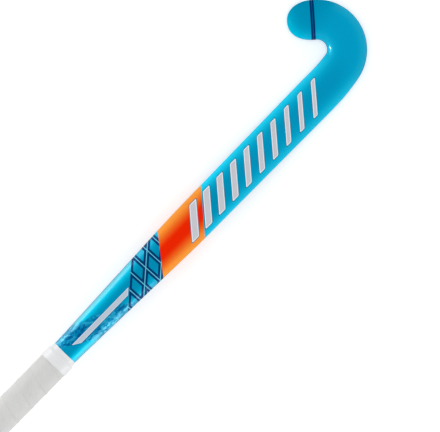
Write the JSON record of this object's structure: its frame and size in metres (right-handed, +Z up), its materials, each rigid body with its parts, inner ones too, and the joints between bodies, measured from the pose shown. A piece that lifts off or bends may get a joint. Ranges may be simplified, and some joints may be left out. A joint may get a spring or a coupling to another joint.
{
  "type": "indoor hockey stick",
  "caption": "Slim indoor field hockey stick with a flat playing face, rounded back, hooked toe, bowed shaft and a tape-wound handle.",
  "frame": {"origin": "on the floor under the middle of the bounding box, with the stick lying on its flat playing face", "axes": "+X towards the head, -X towards the butt, +Y towards the toe of the hook, +Z up, out of the rounded back"},
  "size_m": [0.927, 0.1132, 0.0439],
  "materials": {
    "lacquered_laminate": "glossy sky-blue lacquer over laminate, with an orange band and navy lattice",
    "rigid_foam": "rigid closed-cell foam",
    "carbon_tube": "moulded carbon and glass fibre, as it leaves the bladder",
    "moulded_plug": "moulded nylon",
    "white_rubber": "matt white rubber",
    "cushioned_tape": "soft white cushioned grip tape with fine perforations",
    "vinyl_tape": "smooth white vinyl"
  },
  "bodies": {
    "root": {"composite_shell": "lacquered_laminate", "head_core": "rigid_foam", "toe_side_tube": "carbon_tube", "heel_side_tube": "carbon_tube", "butt_plug": "moulded_plug", "butt_cap": "white_rubber", "grip_tape": "cushioned_tape", "finishing_tape": "vinyl_tape"}
  },
  "joints": []
}
